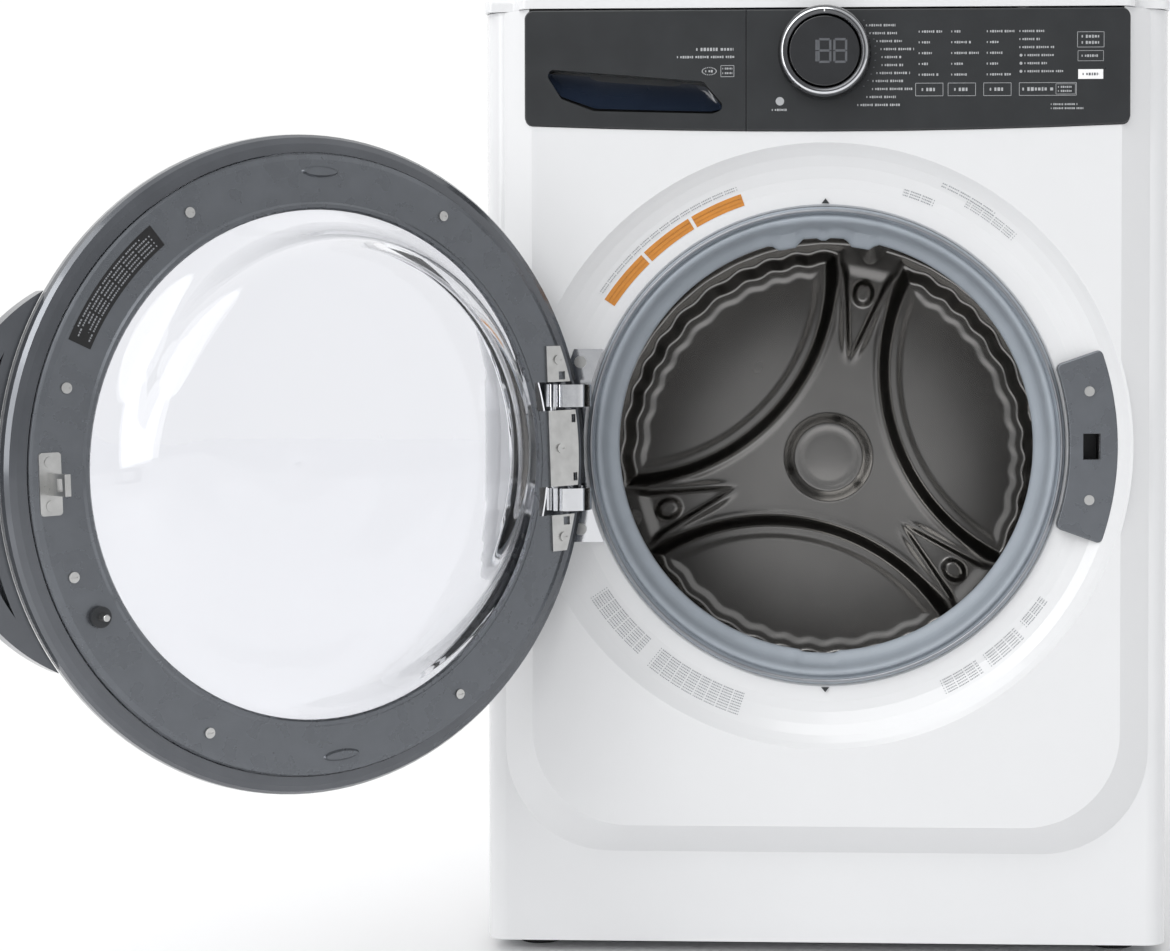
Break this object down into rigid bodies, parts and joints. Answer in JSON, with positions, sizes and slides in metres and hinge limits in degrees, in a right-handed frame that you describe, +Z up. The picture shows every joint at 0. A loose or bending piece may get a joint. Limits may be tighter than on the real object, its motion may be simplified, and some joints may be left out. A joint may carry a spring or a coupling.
{
  "type": "front load washing machine",
  "caption": "Front-loading washing machine with an open round glass door, dark control console, dispenser drawer and a drum hung on springs.",
  "frame": {"origin": "on the floor, midway between the four feet", "axes": "+Z up, +X to the right of a person facing the machine, +Y to its back; the front faces -Y"},
  "size_m": [1.0496, 1.226, 0.965],
  "materials": {
    "white_enamel": "gloss white enamel on pressed steel",
    "galvanised": "galvanised sheet",
    "console_dark": "dark charcoal gloss plastic",
    "scoop_gloss": "glossy blue-black plastic",
    "white_plastic": "white moulded plastic",
    "grey_plastic": "grey moulded plastic",
    "tub_plastic": "light grey glass-filled plastic",
    "door_grey": "satin dark steel-grey moulded plastic",
    "door_outer": "gloss dark grey plastic",
    "clear_glass": "clear pressed glass",
    "dark_plastic": "dark plastic",
    "chrome": "polished chrome",
    "zinc": "zinc plated steel",
    "stainless": "polished stainless steel",
    "alloy": "cast alloy",
    "gasket_rubber": "blue-grey moulded rubber",
    "black_rubber": "black rubber",
    "cast_iron": "rough casting",
    "spring_steel": "spring steel",
    "board_green": "circuit board"
  },
  "bodies": {
    "cabinet": {"cabinet_wrap": "white_enamel", "rear_panel": "galvanised", "base_pan": "galvanised", "top_panel": "white_enamel", "front_panel": "white_enamel", "lock_nuts": "zinc", "console_panel": "console_dark", "dispenser_housing": "white_plastic", "display_lens": "dark_plastic", "control_board": "board_green", "hinge_bracket": "chrome", "lock_trim": "door_grey", "lock_body": "dark_plastic", "door_gasket": "gasket_rubber", "gasket_clamp": "spring_steel", "suspension_springs": "spring_steel", "damper_cylinders": "grey_plastic", "drain_pump": "grey_plastic", "sump_hose": "black_rubber", "inlet_valves": "white_plastic", "drain_outlet": "grey_plastic", "cord_gland": "dark_plastic", "fixing_screws": "zinc"},
    "door": {"door_inner_plate": "door_grey", "door_outer_ring": "door_outer", "door_grip": "door_outer", "door_glass_bowl": "clear_glass", "door_window": "clear_glass", "door_window_trim": "chrome", "door_screws": "zinc", "door_strike": "zinc", "plunger_socket": "dark_plastic", "hinge_leaf": "zinc"},
    "plunger": {"door_plunger": "zinc"},
    "drawer": {"drawer_front": "console_dark", "drawer_tray": "white_plastic", "siphon_caps": "scoop_gloss"},
    "knob": {"knob_ring": "chrome"},
    "lock_bolt": {"lock_bolt": "zinc"},
    "tub": {"tub_front": "tub_plastic", "tub_rear": "tub_plastic", "tub_bolts": "zinc", "counterweights": "cast_iron", "tub_brackets": "galvanised", "drum_bearings": "chrome", "drive_belt": "black_rubber", "motor_housing": "alloy", "heater_element": "stainless", "damper_rods": "zinc"},
    "drum": {"drum_shell": "stainless", "drum_back": "stainless", "drum_spider": "alloy", "drum_baffles": "grey_plastic", "drum_pulley": "alloy"},
    "motor": {"motor_rotor": "spring_steel"},
    "pump": {"pump_impeller": "dark_plastic"},
    "foot_fl": {"foot_front_left": "black_rubber"},
    "foot_fr": {"foot_front_right": "black_rubber"},
    "foot_rl": {"foot_rear_left": "black_rubber"},
    "foot_rr": {"foot_rear_right": "black_rubber"}
  },
  "joints": [
    {"name": "door_hinge", "type": "hinge", "parent": "cabinet", "child": "door", "pos_m": [-0.268, -0.4136, 0.515], "axis": [-0.0175, 0, 0.9998], "range_deg": [-14, 136]},
    {"name": "plunger_press", "type": "slide", "parent": "door", "child": "plunger", "axis": [-0.6946, 0.7193, -0.0121], "range_m": [0, 0.008], "stiffness_N_per_m": 60},
    {"name": "drawer_slide", "type": "slide", "parent": "cabinet", "child": "drawer", "axis": [0, -1, 0], "range_m": [0, 0.2]},
    {"name": "selector_turn", "type": "hinge", "parent": "cabinet", "child": "knob", "pos_m": [-0.0008, -0.408, 0.904], "axis": [0, 1, 0], "continuous": true},
    {"name": "lock_bolt_slide", "type": "slide", "parent": "cabinet", "child": "lock_bolt", "axis": [-1, 0, 0], "range_m": [0, 0.018], "stiffness_N_per_m": 80},
    {"name": "tub_bounce", "type": "slide", "parent": "cabinet", "child": "tub", "axis": [0, 0, 1], "range_m": [-0.012, 0.012], "stiffness_N_per_m": 30000, "springref_m": 0.01782, "deforming": ["suspension_springs", "sump_hose", "door_gasket"]},
    {"name": "drum_spin", "type": "hinge", "parent": "tub", "child": "drum", "pos_m": [0, 0.24654, 0.47315], "axis": [0, 0.9976, -0.0698], "continuous": true},
    {"name": "motor_spin", "type": "hinge", "parent": "tub", "child": "motor", "pos_m": [-0.06, 0.22143, 0.11402], "axis": [0, 0.9976, -0.0698], "continuous": true},
    {"name": "pump_spin", "type": "hinge", "parent": "cabinet", "child": "pump", "pos_m": [0.06, -0.29, 0.062], "axis": [0, 1, 0], "continuous": true},
    {"name": "foot_fl_screw", "type": "hinge", "parent": "cabinet", "child": "foot_fl", "pos_m": [-0.295, -0.31, 0.02], "axis": [0, 0, 1], "continuous": true},
    {"name": "foot_fr_screw", "type": "hinge", "parent": "cabinet", "child": "foot_fr", "pos_m": [0.295, -0.31, 0.02], "axis": [0, 0, 1], "continuous": true},
    {"name": "foot_rl_screw", "type": "hinge", "parent": "cabinet", "child": "foot_rl", "pos_m": [-0.295, 0.31, 0.02], "axis": [0, 0, 1], "continuous": true},
    {"name": "foot_rr_screw", "type": "hinge", "parent": "cabinet", "child": "foot_rr", "pos_m": [0.295, 0.31, 0.02], "axis": [0, 0, 1], "continuous": true}
  ],
  "couplings": [
    {"joint": "motor_spin", "follows": "drum_spin", "ratio": 13.636}
  ]
}
